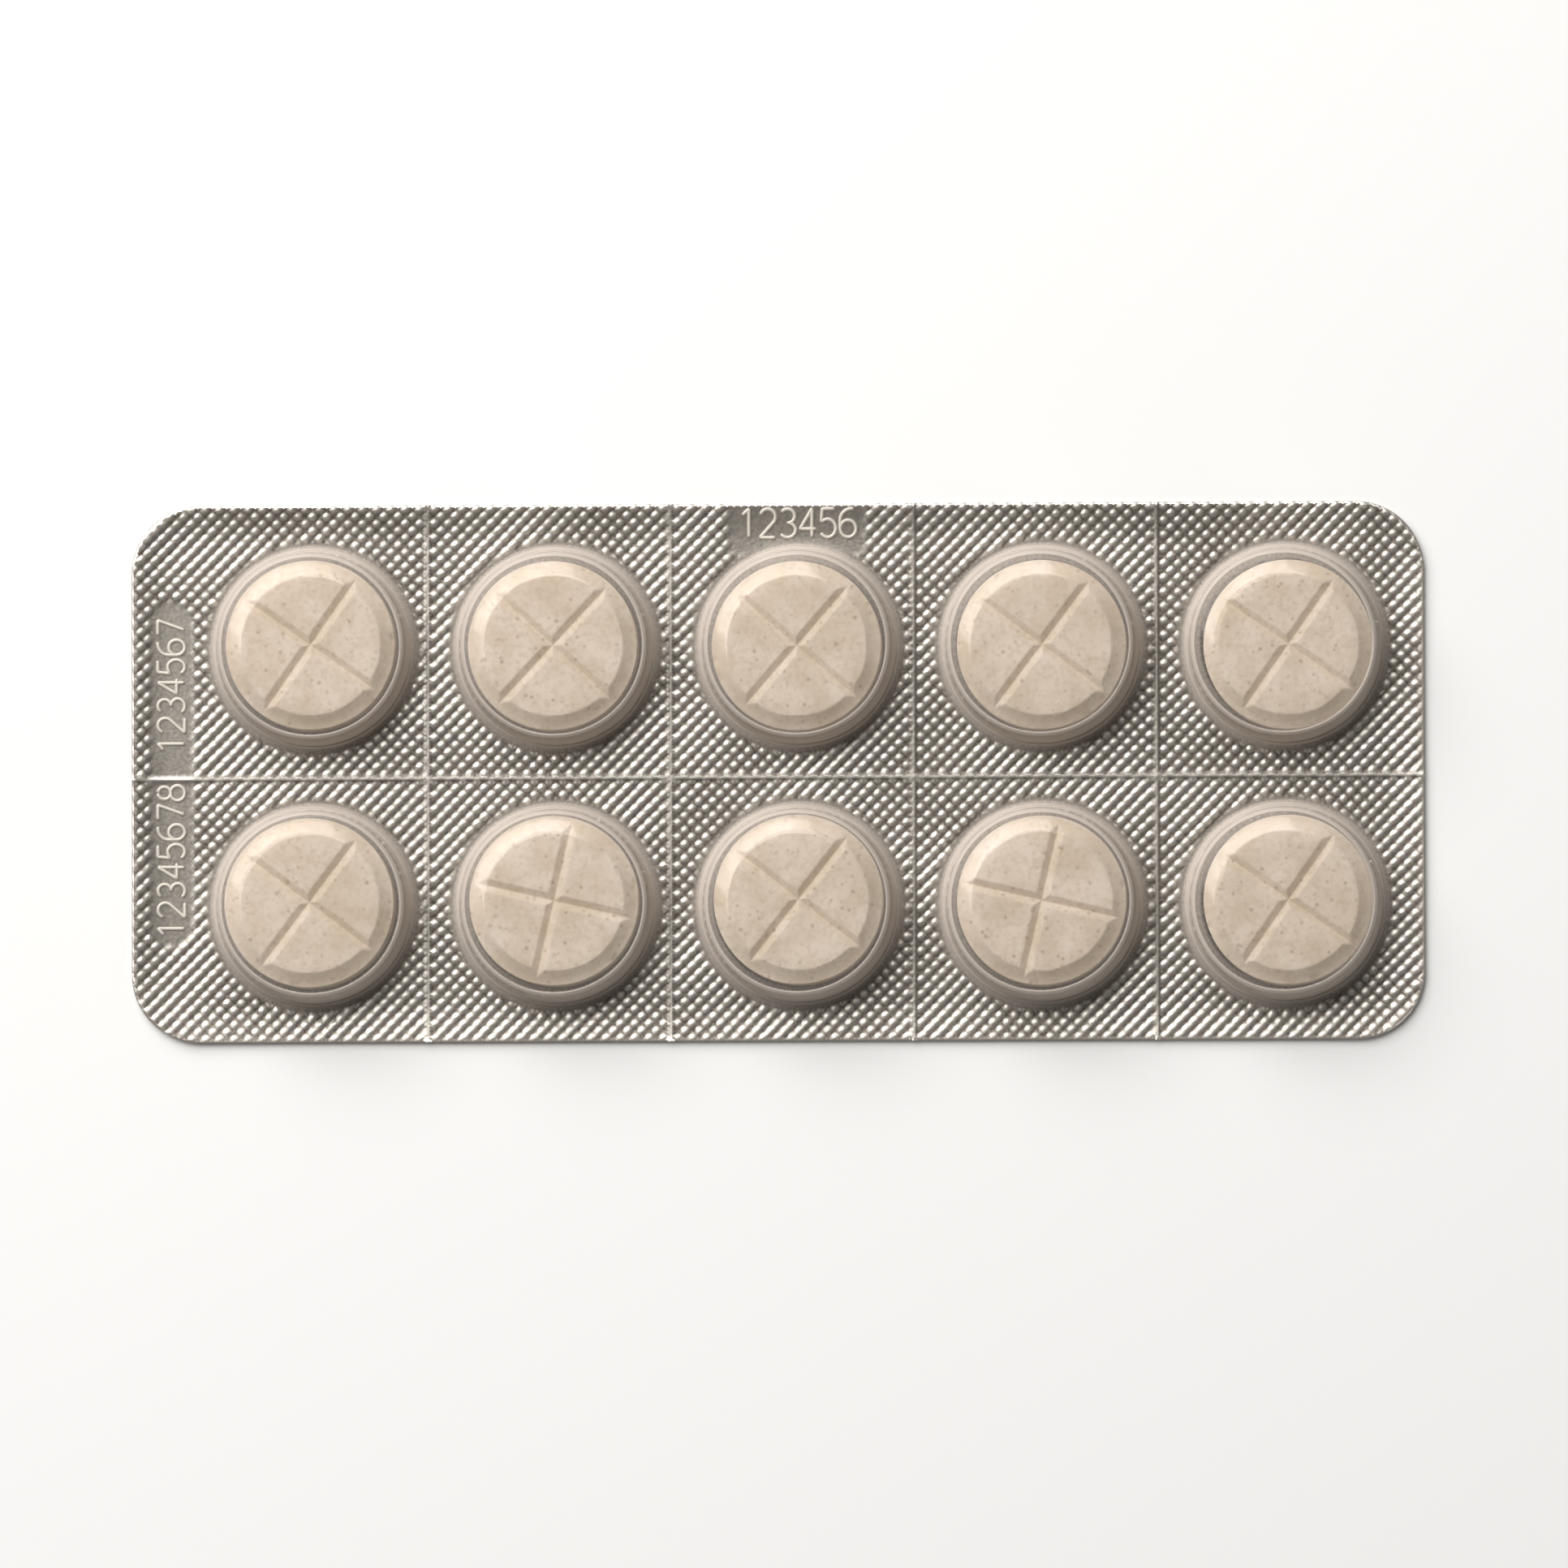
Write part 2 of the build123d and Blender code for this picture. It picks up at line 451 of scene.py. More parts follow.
def put_mesh(name, points, faces, material, flat=()):
    """New object from arrays of points and of triangles or quads; flat names the arrays by number
    whose faces aren't shaded smooth."""
    smooth = np.concatenate([np.full(len(f), k not in flat) for k, f in enumerate(faces)])
    mesh = bpy.data.meshes.new(name)
    mesh.vertices.add(len(points))
    mesh.vertices.foreach_set("co", np.ascontiguousarray(points, np.float32).ravel())
    loops = np.concatenate([f.ravel() for f in faces]).astype(np.int32)
    sizes = np.concatenate([np.full(len(f), f.shape[1]) for f in faces]).astype(np.int32)
    mesh.loops.add(len(loops))
    mesh.loops.foreach_set("vertex_index", loops)
    mesh.polygons.add(len(sizes))
    mesh.polygons.foreach_set("loop_start", (np.cumsum(sizes) - sizes).astype(np.int32))
    mesh.polygons.foreach_set("use_smooth", smooth)
    mesh.update(calc_edges=True)
    mesh.validate()
    mesh.materials.append(material)
    item = bpy.data.objects.new(name, mesh)
    bpy.context.scene.collection.objects.link(item)
    return item


def put_attribute(item, name, values):
    """One number for each point, for a material to read."""
    layer = item.data.attributes.new(name, "FLOAT", "POINT")
    layer.data.foreach_set("value", np.ascontiguousarray(values, np.float32))


def rounded(corners, radii):
    """Open polyline of (radius, height) whose inner corners become arcs, tangent to both sides:
    each starts at radius x tan(half the turn) before its corner. Fine ones have fewer points."""
    line = [corners[:1]]
    for before, corner, after, radius in zip(corners, corners[1:], corners[2:], radii):
        back = (before - corner) / np.hypot(*(before - corner))
        onward = (after - corner) / np.hypot(*(after - corner))
        half = np.arccos(np.clip(back @ onward, -1, 1)) / 2
        centre = corner + (back + onward) / np.hypot(*(back + onward)) * radius / np.sin(half)
        first = corner + back * radius / np.tan(half) - centre
        last = corner + onward * radius / np.tan(half) - centre
        turn = pi - 2 * half
        share = np.linspace(0, 1, 5 if radius > 0.1 * MM else 3)[:, None]
        arc = (np.sin((1 - share) * turn) * first + np.sin(share * turn) * last) / np.sin(turn)
        line.append(centre + arc)
    return np.concatenate(line + [corners[-1:]])


def way_round(points):
    """Angle-like place of a point along the outline: its turn about the middle, Y stretched."""
    return np.arctan2(points[:, 1] * HALF_LENGTH / HALF_WIDTH, points[:, 0])


def zip_loops(upper, upper_way, lower, lower_way):
    """Triangles between two closed loops, one over the other: each stretch of a loop takes the last
    point that the other loop has reached where the stretch ends."""
    upper, upper_way = upper[np.argsort(upper_way)], np.sort(upper_way)
    lower, lower_way = lower[np.argsort(lower_way)], np.sort(lower_way)
    upper_ends = np.append(upper_way[1:], upper_way[0] + 2 * pi)
    lower_ends = np.append(lower_way[1:], lower_way[0] + 2 * pi)
    below = np.searchsorted(lower_ends, upper_ends, side="left") % len(lower)
    above = np.searchsorted(upper_ends, lower_ends, side="right") % len(upper)
    return np.concatenate([
        np.stack([np.roll(upper, -1), upper, lower[below]], 1),
        np.stack([lower, np.roll(lower, -1), upper[above]], 1),
    ])


def lid_side(foil, parts, gauge, depth):
    """One side of the foil: knurled web and flat floors under the pockets. Returns its points, its
    triangles and the numbers of the points on the outline."""
    flat, triangles = web_grid(foil.pitch, parts)
    outer, rims = split_borders(flat, triangles)
    count = len(flat)
    floors = [
        np.stack([edges[:, 1], edges[:, 0], np.full(len(edges), count + k)], 1)
        for k, edges in enumerate(rims)
    ]
    flat = np.concatenate([flat, POCKETS])
    height = depth * bead_share(flat, foil.pitch) + ridge(flat, foil.crease_rise)
    height[count:] = 0
    height += foil.burr * lip(flat) + curl(flat, foil.curl)
    points = np.column_stack([flat, height + gauge])
    return points, np.concatenate([triangles, *floors]), np.unique(outer)


def lid_sheet(settings, material):
    """Foil: a fine upper side with its full knurl, and a coarser underside with half of it, one
    gauge lower, zipped together round the outline."""
    over, top, top_rim = lid_side(settings, 4, FOIL_GAUGE, settings.depth)
    under, bottom, bottom_rim = lid_side(settings, 2, 0, 0.5 * settings.depth)
    walls = zip_loops(
        top_rim, way_round(over[top_rim]), bottom_rim + len(over), way_round(under[bottom_rim])
    )
    points = np.concatenate([over, under])
    sheet = put_mesh(
        "foil_sheet", points, [top, bottom[:, ::-1] + len(over), walls], material, flat=(2,)
    )
    flat = points[:, :2]
    # Share of painted light in the foil's colour: painted highlight where it is high, on bead tops,
    # tear lines and the cut edge, painted shade where it is low, in the valleys; the panels get
    # 0.15 of it
    painted_light_share = bead_share(flat, settings.pitch) + ridge(flat, 0.24) + lip(flat)
    put_attribute(sheet, "painted_light_share", np.clip(painted_light_share + 0.15 * panel_share(flat), 0, 1))
    return sheet


def pocket_rings(centre, angles, profile):
    """Points of a profile of (radius, height) carried round a centre, one ring after another."""
    radius, height = profile.T
    x = centre[0] + radius[:, None] * np.cos(angles)
    y = centre[1] + radius[:, None] * np.sin(angles)
    z = np.broadcast_to(height[:, None], x.shape)
    return np.stack([x, y, z], -1).reshape(-1, 3)


def blister_sheet(foil, settings, material):
    """Film: a closed shell. Its upper side is the web, then each pocket's outer profile up to the
    middle of the roof; its underside is the same grid without relief, drawn in to the narrower
    opening of the inner profiles. Both are joined round the outline. The number "drawn" says how
    stretched the film is: 1 over wall and foot, and a bell curve more, 0.06 mm wide, on each rib,
    all times 0.84."""
    flat, triangles = web_grid(foil.pitch, 2)
    outer, rims = split_borders(flat, triangles)
    lift = curl(flat, foil.curl)
    top = FILM_TOP + settings.relief * bead_share(flat, foil.pitch)
    top -= settings.relief * flat_share(flat)
    top += ridge(flat, foil.crease_rise) + lift
    count = len(flat)
    low_flat = flat.copy()
    pockets = []
    for centre, edges in zip(POCKETS, rims):
        ids = np.unique(edges)
        arms = flat[ids] - centre
        angles = np.arctan2(arms[:, 1], arms[:, 0])
        order = np.argsort(angles)
        ids, angles = ids[order], angles[order]
        low_flat[ids] = centre + INSIDE[0, 0] * np.stack([np.cos(angles), np.sin(angles)], 1)
        pockets.append((centre, ids, angles))
    points = [np.column_stack([flat, top]), np.column_stack([low_flat, FILM_UNDERSIDE + lift])]
    start, stop = outer.T
    walls = np.stack([stop, start, start + count, stop + count], 1)
    faces = [triangles, triangles[:, ::-1] + count, walls]
    total = 2 * count
    outside, inside = rounded(OUTSIDE, OUTSIDE_ROUNDS), rounded(INSIDE, INSIDE_ROUNDS)
    for centre, ids, angles in pockets:
        for profile, first_ring, way in ((outside, ids, 1), (inside, ids + count, -1)):
            rings = pocket_rings(centre, angles, profile[1:])
            points += [rings, np.array([[*centre, profile[-1, 1]]])]
            index = total + np.arange(len(rings)).reshape(-1, len(ids))
            index = np.concatenate([first_ring[None], index])
            total += len(rings) + 1
            last = index[-1]
            cap = np.stack([last, np.roll(last, -1), np.full_like(last, total - 1)], -1)
            faces += [bands(index)[:, ::way], cap[:, ::way]]
    points = np.concatenate(points)
    sheet = put_mesh("film_blister", points, faces, material, flat=(2,))
    off_axis = pocket_distance(points[:, :2], 0)
    drawn = smooth_step(6.2 * MM, 6.7 * MM, off_axis) - smooth_step(7.45 * MM, 7.8 * MM, off_axis)
    for rib in RIBS:
        drawn += np.exp(-(((off_axis - rib) / (0.06 * MM)) ** 2))
    put_attribute(sheet, "drawn", 0.84 * drawn)
    return sheet


def pill_lines():
    """Half of the grid's lines: close together across the break marks and over the bevel."""
    marks = np.linspace(0, 0.62, 10)
    face = np.linspace(0.62, 4.75, 18)[1:]
    bevel = np.linspace(4.75, TABLET_RADIUS / MM, 18)[1:]
    return np.concatenate([marks, face, bevel]) * MM


def pill(name, centre, turn, seed, settings, material):
    """Tablet: both faces are grids of circles whose spokes run beside the break marks: a grid point
    (u, v) goes to the circle of radius max(|u|, |v|), at the angle t - 0.2146 t^3 from the nearer
    axis, where t is the lesser over the greater. The height is the lower of face and score, blended
    over 0.05 mm, with a wavering bevel and four chips at the rim. The side is straight."""
    rng = np.random.default_rng(seed)
    half = pill_lines()
    lines = np.concatenate([-half[:0:-1], half])
    u, v = np.meshgrid(lines, lines, indexing="ij")
    big = np.maximum(np.abs(u), np.abs(v))
    t = np.divide(np.minimum(np.abs(u), np.abs(v)), big, out=np.zeros_like(big), where=big > 0)
    bend = t - (1 - pi / 4) * t**3
    swap = np.abs(v) > np.abs(u)
    near, far = big * np.cos(bend), big * np.sin(bend)
    x = np.sign(u) * np.where(swap, far, near)
    y = np.sign(v) * np.where(swap, near, far)
    r, theta = np.hypot(x, y), np.arctan2(y, x)

    waves = sum(
        rng.normal(0, 0.035 / k**0.5) * np.sin(k * theta + rng.uniform(0, 2 * pi))
        for k in (3, 5, 8, 13, 21, 34)
    )
    start = BEVEL_START + waves * MM
    over = np.clip((r - start) / (TABLET_RADIUS - start), 0, 1)
    top = TABLET_HEIGHT - BEVEL_HEIGHT * (1 - (1 - over) ** 1.7)
    for _ in range(4):
        where, size = rng.uniform(0, 2 * pi), rng.uniform(0.25, 0.5) * MM
        chip = np.hypot(x - TABLET_RADIUS * cos(where), y - TABLET_RADIUS * sin(where)) / size
        top -= 0.1 * MM * np.clip(1 - chip**2, 0, None)
    slope = settings.score_depth / settings.score_half
    groove = TABLET_HEIGHT - settings.score_depth + slope * np.minimum(np.abs(x), np.abs(y))
    soft = 0.05 * MM
    mix = np.clip(0.5 + (top - groove) / (2 * soft), 0, 1)
    top = top * (1 - mix) + groove * mix - soft * mix * (1 - mix)
    depth_share = np.clip((TABLET_HEIGHT - top) / settings.score_depth, 0, 1) * (r < start)

    low_over = np.clip((r - LOWER_BEVEL_START) / (TABLET_RADIUS - LOWER_BEVEL_START), 0, 1)
    bottom = LOWER_BEVEL_HEIGHT * low_over**1.6
    count = len(lines)
    grid = np.arange(count * count).reshape(count, count)
    rim = np.concatenate([grid[:-1, 0], grid[-1, :-1], grid[:0:-1, -1], grid[0, :0:-1]])
    a, b, c, d = grid[:-1, :-1], grid[1:, :-1], grid[1:, 1:], grid[:-1, 1:]
    face = np.stack([a, b, c, d], -1).reshape(-1, 4)
    flat = np.column_stack([x.ravel(), y.ravel()])
    upper = np.column_stack([flat, top.ravel()])
    lower = np.column_stack([flat, bottom.ravel()])
    share = np.linspace(0, 1, 6)[1:-1, None]
    ring_z = top.ravel()[rim] * (1 - share) + bottom.ravel()[rim] * share
    ring_x, ring_y = (np.broadcast_to(line, ring_z.shape) for line in flat[rim].T)
    rings = np.stack([ring_x, ring_y, ring_z], -1).reshape(-1, 3)
    size = len(flat)
    between = 2 * size + np.arange(ring_z.size).reshape(ring_z.shape)
    sides = bands(np.concatenate([rim[None], between, rim[None] + size]))[:, [0, 3, 2, 1]]
    local = np.concatenate([upper, lower, rings])
    world = np.column_stack([turned(local[:, :2], turn) + centre[:2], local[:, 2] + FOIL_GAUGE])
    item = put_mesh(name, world, [face, face[:, ::-1] + size, sides], material)
    rest = np.zeros(len(world) - size)
    put_attribute(item, "score", np.concatenate([depth_share.ravel(), rest]))
    # Share of the bevel, highest half way across it, which the material uses for painted shade
    put_attribute(item, "bevel", np.concatenate([(4 * over * (1 - over)).ravel(), rest]))
    return item


def arc(centre, radii, start, stop, steps=14):
    """Points of an elliptical arc, angles in degrees."""
    angle = np.radians(np.linspace(start, stop, steps))
    return np.stack([centre[0] + radii[0] * np.cos(angle), centre[1] + radii[1] * np.sin(angle)], 1)


def digit_strokes():
    """Strokes of the plain digits 1 to 8, in a box 0.6 wide and 1 high: the runs of arcs and
    corners that make up each stroke, joined end to end."""
    runs = {
        "1": [[[(0.1, 0.78), (0.34, 1), (0.34, 0)]]],
        "2": [[arc((0.3, 0.72), (0.27, 0.28), 165, -35), [(0.02, 0), (0.58, 0)]]],
        "3": [[arc((0.29, 0.75), (0.25, 0.25), 150, -90),
               arc((0.29, 0.26), (0.28, 0.26), 90, -150)]],
        "4": [[[(0.44, 0), (0.44, 1), (0.02, 0.3), (0.6, 0.3)]]],
        "5": [[[(0.54, 1), (0.1, 1), (0.06, 0.55)],
               arc((0.29, 0.32), (0.28, 0.32), 110, -150)]],
        "6": [[arc((0.44, 0.62), (0.42, 0.38), 80, 180, 10),
               arc((0.3, 0.3), (0.28, 0.3), 180, 540, 24)]],
        "7": [[[(0.02, 1), (0.58, 1), (0.22, 0)]]],
        "8": [[arc((0.3, 0.76), (0.23, 0.24), 90, 450, 22)],
              [arc((0.3, 0.27), (0.28, 0.27), 90, 450, 24)]],
    }
    return {digit: [np.concatenate(path) for path in paths] for digit, paths in runs.items()}


def stroke_tube(path, radius):
    """Profile of eight sides with a broad top carried along a flat path: each of cosine and sine is
    raised to the power 0.6, with its sign kept. It narrows round its closed ends by the square root
    of 1 - 0.9 (1 - t)^2, where t is the distance from the end over the radius."""
    reach = np.concatenate([[0], np.cumsum(np.hypot(*np.diff(path, axis=0).T))])
    run = np.linspace(0, reach[-1], max(int(reach[-1] / (0.6 * radius)), 4))
    run = np.sort(np.concatenate([run, [0.3 * radius, reach[-1] - 0.3 * radius]]))
    path = np.stack([np.interp(run, reach, path[:, k]) for k in (0, 1)], 1)
    taper = np.clip(np.minimum(run, reach[-1] - run) / radius, 0, 1)
    width = np.sqrt(1 - 0.9 * (1 - taper) ** 2)[:, None]
    tangent = np.gradient(path, axis=0)
    tangent /= np.hypot(*tangent.T)[:, None]
    side = np.stack([-tangent[:, 1], tangent[:, 0]], 1)
    sides = 8
    angle = np.linspace(0, 2 * pi, sides, endpoint=False)
    across, up = (
        np.sign(wave) * np.abs(wave).round(9) ** 0.6 * radius
        for wave in (np.cos(angle), np.sin(angle))
    )
    flat = path[:, None, :] + (width * across)[..., None] * side[:, None, :]
    rise = width * up
    rings = np.concatenate([flat, rise[..., None]], -1)
    ends = np.array([[*path[0], 0], [*path[-1], 0]])
    points = np.concatenate([rings.reshape(-1, 3), ends])
    index = np.arange(len(rings) * sides).reshape(-1, sides)
    first, last = len(points) - 2, len(points) - 1
    caps = np.concatenate([
        np.stack([np.roll(index[0], -1), index[0], np.full(sides, first)], 1),
        np.stack([index[-1], np.roll(index[-1], -1), np.full(sides, last)], 1),
    ])
    return points, bands(index), caps


def foil_digits(foil, settings, material):
    """Plain digits pressed up into the foil: strokes carried along each digit's path, lifted with
    the margin."""
    strokes = digit_strokes()
    points, quads, caps, total = [], [], [], 0
    for text, start, turn, share, advance in DIGIT_ROWS:
        for place, digit in enumerate(text):
            for path in strokes[digit]:
                flat = path * (settings.height * share) + (place * advance, 0)
                p, q, c = stroke_tube(turned(flat, turn) + start, settings.stroke)
                p[:, 2] += FOIL_GAUGE + 0.02 * MM
                points.append(p)
                quads.append(q + total)
                caps.append(c + total)
                total += len(p)
    points = np.concatenate(points)
    points[:, 2] = np.maximum(points[:, 2], 0.5 * FOIL_GAUGE) + curl(points[:, :2], foil.curl)
    return put_mesh("foil_digits", points, [np.concatenate(quads), np.concatenate(caps)], material)


# Materials


def add_node(tree, kind, inputs=None, **settings):
    """New node with its settings, and its inputs as values or as sockets to link from."""
    node = tree.nodes.new(kind)
    for name, value in settings.items():
        setattr(node, name, value)
    for name, value in (inputs or {}).items():
        if isinstance(value, bpy.types.NodeSocket):
            tree.links.new(value, node.inputs[name])
        else:
            node.inputs[name].default_value = value
    return node


def new_material(name):
    """Empty material, its tree and its output node."""
    material = bpy.data.materials.new(name)
    material.use_nodes = True
    tree = material.node_tree
    tree.nodes.clear()
    return material, tree, add_node(tree, "ShaderNodeOutputMaterial")


def rolled_foil(settings):
    """Aluminium lidding foil, rolled hard and lacquered. Its colour holds painted light: the bead
    tops, the tear lines and the cut edge take the bright foil colour as a painted highlight, while
    the valleys between the beads, most of the flat panels and the floors under the pockets take a
    darker brown, mottled at 0.25 mm, as painted shade, and are rougher. The seal's uneven heat
    dulls it in patches of 7 mm."""
    material, tree, output = new_material("rolled_aluminium_foil")
    place = add_node(tree, "ShaderNodeTexCoord").outputs["Object"]
    patches, mottle = (
        add_node(tree, "ShaderNodeTexNoise", {"Vector": place, "Scale": scale, "Detail": 3.0})
        for scale in (140.0, 4000.0)
    )
    painted_light_attr = add_node(tree, "ShaderNodeAttribute", attribute_name="painted_light_share")
    matt = add_node(
        tree, "ShaderNodeMapRange",
        {"Value": patches.outputs["Fac"], "From Min": 0.3, "From Max": 0.7, "To Min": 0.38,
         "To Max": 0.52},
    )
    dulled = add_node(
        tree, "ShaderNodeMapRange",
        {"Value": painted_light_attr.outputs["Fac"], "From Min": 0.0, "From Max": 0.35,
         "To Min": matt.outputs["Result"], "To Max": settings.roughness},
    )
    # Painted highlight: the bright foil colour takes over as the painted light share rises
    bright = add_node(
        tree, "ShaderNodeMapRange",
        {"Value": painted_light_attr.outputs["Fac"], "From Min": 0.06, "From Max": 0.4, "To Min": 0.0,
         "To Max": 1.0},
    )
    valley = add_node(
        tree, "ShaderNodeMapRange",
        {"Value": mottle.outputs["Fac"], "From Min": 0.35, "From Max": 0.65, "To Min": 0.0,
         "To Max": 1.0},
    )
    # Painted shade: a mottled dark brown for the knurl's valleys, the panels and the floors
    valley_shade = add_node(
        tree, "ShaderNodeMix", {"Factor": valley.outputs["Result"], "A": linear("#4E4741"),
                                "B": linear("#8C847B")}, data_type="RGBA",
    )
    colour = add_node(
        tree, "ShaderNodeMix", {"Factor": bright.outputs["Result"], "A": valley_shade.outputs["Result"],
                                "B": settings.colour}, data_type="RGBA",
    )
    bump = add_node(
        tree, "ShaderNodeBump",
        {"Height": mottle.outputs["Fac"], "Strength": 0.3, "Distance": 0.04 * MM},
    )
    shader = add_node(
        tree, "ShaderNodeBsdfPrincipled",
        {"Base Color": colour.outputs["Result"], "Metallic": 1.0,
         "Roughness": dulled.outputs["Result"], "Normal": bump.outputs["Normal"]},
    )
    tree.links.new(shader.outputs["BSDF"], output.inputs["Surface"])
    return material


def frosted_foil(settings):
    """The same foil where the digits' dies have pressed it: their fine-blasted faces leave it
    frosted, so that a digit scatters light and looks paler than the flat panel round it."""
    material, tree, output = new_material("die_frosted_foil")
    place = add_node(tree, "ShaderNodeTexCoord").outputs["Object"]
    frost = add_node(tree, "ShaderNodeTexNoise", {"Vector": place, "Scale": 12000.0, "Detail": 2.0})
    uneven = add_node(
        tree, "ShaderNodeMapRange",
        {"Value": frost.outputs["Fac"], "From Min": 0.3, "From Max": 0.7, "To Min": 0.5,
         "To Max": 0.62},
    )
    colour = add_node(
        tree, "ShaderNodeMix", {"Factor": frost.outputs["Fac"], "A": linear("#EFEAE2"),
                                "B": settings.colour}, data_type="RGBA",
    )
    bump = add_node(
        tree, "ShaderNodeBump",
        {"Height": frost.outputs["Fac"], "Strength": 0.4, "Distance": 0.01 * MM},
    )
    shader = add_node(
        tree, "ShaderNodeBsdfPrincipled",
        {"Base Color": colour.outputs["Result"], "Metallic": 0.5,
         "Roughness": uneven.outputs["Result"], "Normal": bump.outputs["Normal"]},
    )
    tree.links.new(shader.outputs["BSDF"], output.inputs["Surface"])
    return material


def clear_film(settings):
    """PVC film, calendered clear and drawn warm: each of its faces mirrors 0.044 of the light
    face-on and 0.044 + 0.956 (1 - cos)^5 at a slant. It is faintly hazy, more so at a slant, and
    the wall and foot of a pocket are whitened by being stretched."""
    material, tree, output = new_material("clear_drawn_pvc")
    place = add_node(tree, "ShaderNodeTexCoord").outputs["Object"]
    waves = add_node(tree, "ShaderNodeTexNoise", {"Vector": place, "Scale": 260.0, "Detail": 2.0})
    bump = add_node(
        tree, "ShaderNodeBump",
        {"Height": waves.outputs["Fac"], "Strength": 0.2, "Distance": 0.06 * MM},
    )
    slant = add_node(
        tree, "ShaderNodeLayerWeight", {"Blend": 0.5, "Normal": bump.outputs["Normal"]}
    ).outputs["Facing"]
    steep = add_node(tree, "ShaderNodeMath", {0: slant, 1: 5.0}, operation="POWER")
    mirrored = add_node(
        tree, "ShaderNodeMath", {0: steep.outputs["Value"], 1: 0.956, 2: 0.044},
        operation="MULTIPLY_ADD",
    )
    drawn = add_node(tree, "ShaderNodeAttribute", attribute_name="drawn")
    whitened = add_node(
        tree, "ShaderNodeMath", {0: drawn.outputs["Fac"], 1: 0.25, 2: settings.haze},
        operation="MULTIPLY_ADD",
    )
    hazed = add_node(
        tree, "ShaderNodeMath", {0: slant, 1: 0.4, 2: whitened.outputs["Value"]},
        operation="MULTIPLY_ADD",
    )
    haze = add_node(
        tree, "ShaderNodeBsdfPrincipled",
        {"Base Color": linear("#F3E7DB"), "Roughness": 0.7, "IOR": 1.53,
         "Specular IOR Level": 0.0, "Normal": bump.outputs["Normal"]},
    )
    mirror = add_node(
        tree, "ShaderNodeBsdfAnisotropic",
        {"Color": linear("#9E9894"), "Roughness": settings.roughness,
         "Normal": bump.outputs["Normal"]},
    )
    clear = add_node(tree, "ShaderNodeBsdfTransparent", {"Color": settings.tint})
    body = add_node(
        tree, "ShaderNodeMixShader",
        {0: hazed.outputs["Value"], 1: clear.outputs["BSDF"], 2: haze.outputs["BSDF"]},
    )
    mix = add_node(
        tree, "ShaderNodeMixShader",
        {0: mirrored.outputs["Value"], 1: body.outputs["Shader"], 2: mirror.outputs["BSDF"]},
    )
    tree.links.new(mix.outputs["Shader"], output.inputs["Surface"])
    return material


def pressed_powder(settings):
    """Pressed tablet of milled plant powder: matt and fine-grained, with darker grains of 0.1 to
    0.3 mm. A browner ring over the bevel, all round, is painted shade, and the break marks are
    yellower and a little darker the deeper they are."""
    material, tree, output = new_material("pressed_powder")
    place = add_node(tree, "ShaderNodeTexCoord").outputs["Object"]
    cloud, grain, flour, rare = (
        add_node(tree, "ShaderNodeTexNoise", {"Vector": place, "Scale": scale, "Detail": detail})
        for scale, detail in ((420.0, 5.0), (6500.0, 3.0), (2600.0, 4.0), (1400.0, 1.0))
    )
    specks = add_node(
        tree, "ShaderNodeTexVoronoi", {"Vector": place, "Scale": 1500.0, "Randomness": 1.0}
    )
    near, chosen, patchy, coarse = (
        add_node(
            tree, "ShaderNodeMapRange",
            {"Value": value, "From Min": low, "From Max": high, "To Min": start, "To Max": stop},
        ).outputs["Result"]
        for value, low, high, start, stop in (
            (specks.outputs["Distance"], 0.12, 0.3, 1.0, 0.0),
            (rare.outputs["Fac"], 0.4, 0.64, 0.0, 0.45),
            (cloud.outputs["Fac"], 0.35, 0.65, 0.0, 1.0),
            (flour.outputs["Fac"], 0.45, 0.72, 0.0, 0.4),
        )
    )
    score_share, bevel = (
        add_node(tree, "ShaderNodeAttribute", attribute_name=name) for name in ("score", "bevel")
    )
    # Shares of darker grains, of the break marks' yellower tint, which grows with their depth, and
    # of painted shade, a browner ring over the bevel
    speck, groove_tint, bevel_shade = (
        add_node(
            tree, "ShaderNodeMath", {0: value, 1: share}, operation="MULTIPLY"
        ).outputs["Value"]
        for value, share in (
            (near, chosen), (score_share.outputs["Fac"], 0.12), (bevel.outputs["Fac"], 0.2),
        )
    )
    powder = linear("#DACAB8")
    for share, tone in (
        (patchy, settings.colour), (coarse, linear("#BFAA92")), (speck, settings.speck_colour),
        (groove_tint, linear("#D6C295")), (bevel_shade, linear("#C4AD90")),
    ):
        powder = add_node(
            tree, "ShaderNodeMix", {"Factor": share, "A": powder, "B": tone}, data_type="RGBA",
        ).outputs["Result"]
    bump = add_node(
        tree, "ShaderNodeBump",
        {"Height": grain.outputs["Fac"], "Strength": 0.5, "Distance": 0.03 * MM},
    )
    shader = add_node(
        tree, "ShaderNodeBsdfPrincipled",
        {"Base Color": powder, "Roughness": 0.82, "Normal": bump.outputs["Normal"]},
    )
    tree.links.new(shader.outputs["BSDF"], output.inputs["Surface"])
    return material


def matt_board(settings):
    """White matt board: a plain pale ground with a breath of unevenness."""
    material, tree, output = new_material("matt_white_board")
    place = add_node(tree, "ShaderNodeTexCoord").outputs["Object"]
    cloud = add_node(tree, "ShaderNodeTexNoise", {"Vector": place, "Scale": 3.0})
    colour = add_node(
        tree, "ShaderNodeMix",
        {"Factor": cloud.outputs["Fac"], "A": settings.floor_colour, "B": linear("#E6E5E3")},
        data_type="RGBA",
    )
    shader = add_node(
        tree, "ShaderNodeBsdfPrincipled",
        {"Base Color": colour.outputs["Result"], "Roughness": 0.95, "Specular IOR Level": 0.1},
    )
    tree.links.new(shader.outputs["BSDF"], output.inputs["Surface"])
    return material


# Operators


def settings_of(context):
    """The scene's settings for all pieces and the stage."""
    return context.scene.blister


